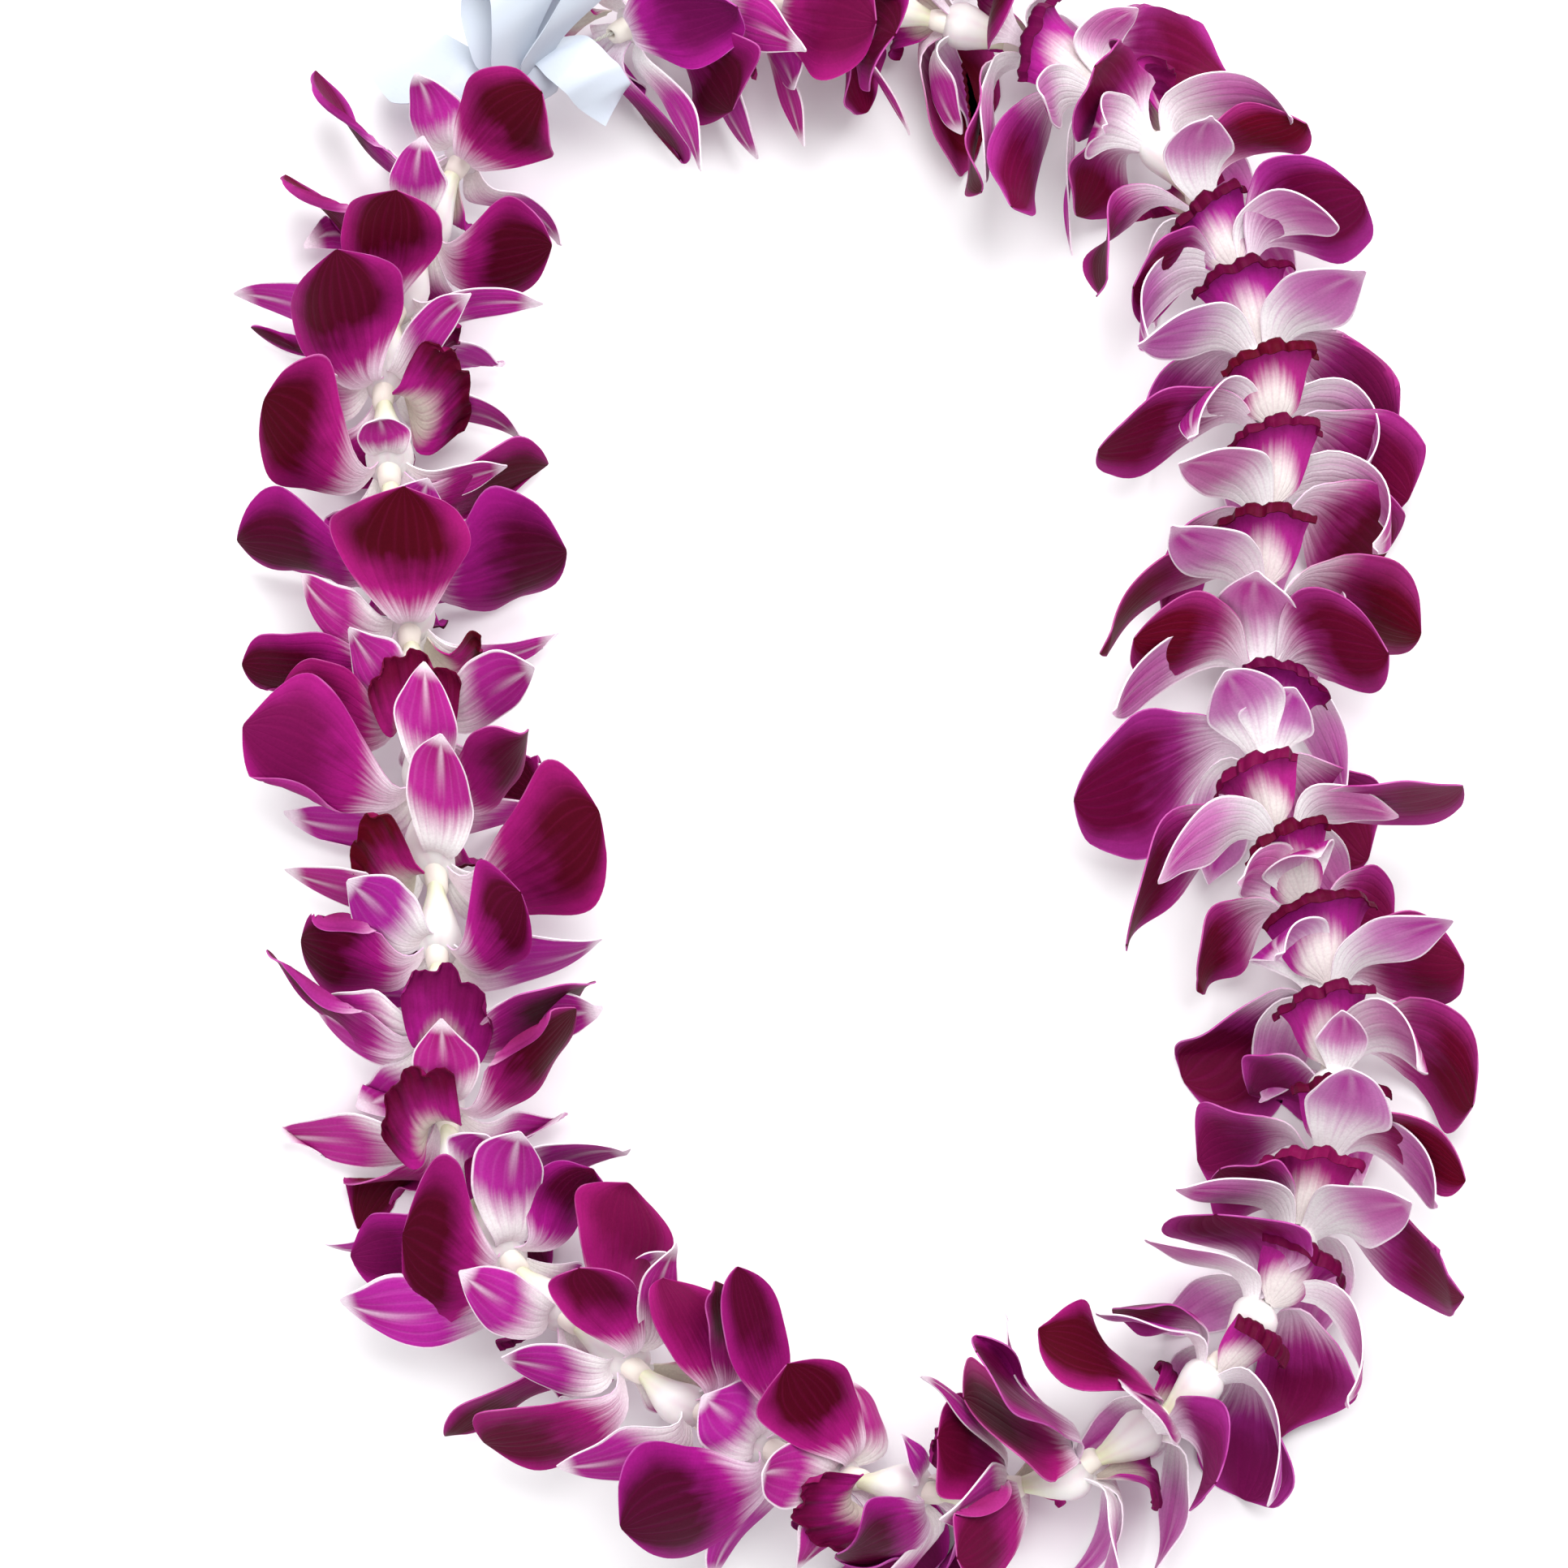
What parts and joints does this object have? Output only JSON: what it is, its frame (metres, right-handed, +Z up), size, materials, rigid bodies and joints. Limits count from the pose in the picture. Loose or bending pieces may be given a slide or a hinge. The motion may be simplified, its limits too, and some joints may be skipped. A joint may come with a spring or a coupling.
{
  "type": "fresh flower lei",
  "caption": "Fresh orchid lei: magenta orchid blooms strung nose to tail through their centres on a closed cotton thread, laid flat as an open oval and tied with a white ribbon bow.",
  "frame": {"origin": "centre of the lei's outline on the surface it lies on", "axes": "+Z up from the surface, +Y towards the end of the oval with the ribbon bow, +X to the right in the picture, which looks straight down"},
  "size_m": [0.3014, 0.4386, 0.0618],
  "materials": {
    "orchid_petals": "velvety",
    "cotton_thread": "matte",
    "satin_ribbon": "satin"
  },
  "bodies": {
    "root": {"bloom_01": "orchid_petals", "bloom_02": "orchid_petals", "bloom_03": "orchid_petals", "bloom_04": "orchid_petals", "bloom_05": "orchid_petals", "bloom_06": "orchid_petals", "bloom_07": "orchid_petals", "bloom_08": "orchid_petals", "bloom_09": "orchid_petals", "bloom_10": "orchid_petals", "bloom_11": "orchid_petals", "bloom_12": "orchid_petals", "bloom_13": "orchid_petals", "bloom_14": "orchid_petals", "bloom_15": "orchid_petals", "bloom_16": "orchid_petals", "bloom_17": "orchid_petals", "bloom_18": "orchid_petals", "bloom_19": "orchid_petals", "bloom_20": "orchid_petals", "bloom_21": "orchid_petals", "bloom_22": "orchid_petals", "bloom_23": "orchid_petals", "bloom_24": "orchid_petals", "bloom_25": "orchid_petals", "bloom_26": "orchid_petals", "bloom_27": "orchid_petals", "bloom_28": "orchid_petals", "bloom_29": "orchid_petals", "bloom_30": "orchid_petals", "bloom_31": "orchid_petals", "bloom_32": "orchid_petals", "bloom_33": "orchid_petals", "bloom_34": "orchid_petals", "bloom_35": "orchid_petals", "bloom_36": "orchid_petals", "bloom_37": "orchid_petals", "bloom_38": "orchid_petals", "bloom_39": "orchid_petals", "bloom_40": "orchid_petals", "bloom_41": "orchid_petals", "bloom_42": "orchid_petals", "bloom_43": "orchid_petals", "bloom_44": "orchid_petals", "bloom_45": "orchid_petals", "bloom_46": "orchid_petals", "bloom_47": "orchid_petals", "bloom_48": "orchid_petals", "thread": "cotton_thread", "ribbon_bow": "satin_ribbon"}
  },
  "joints": []
}
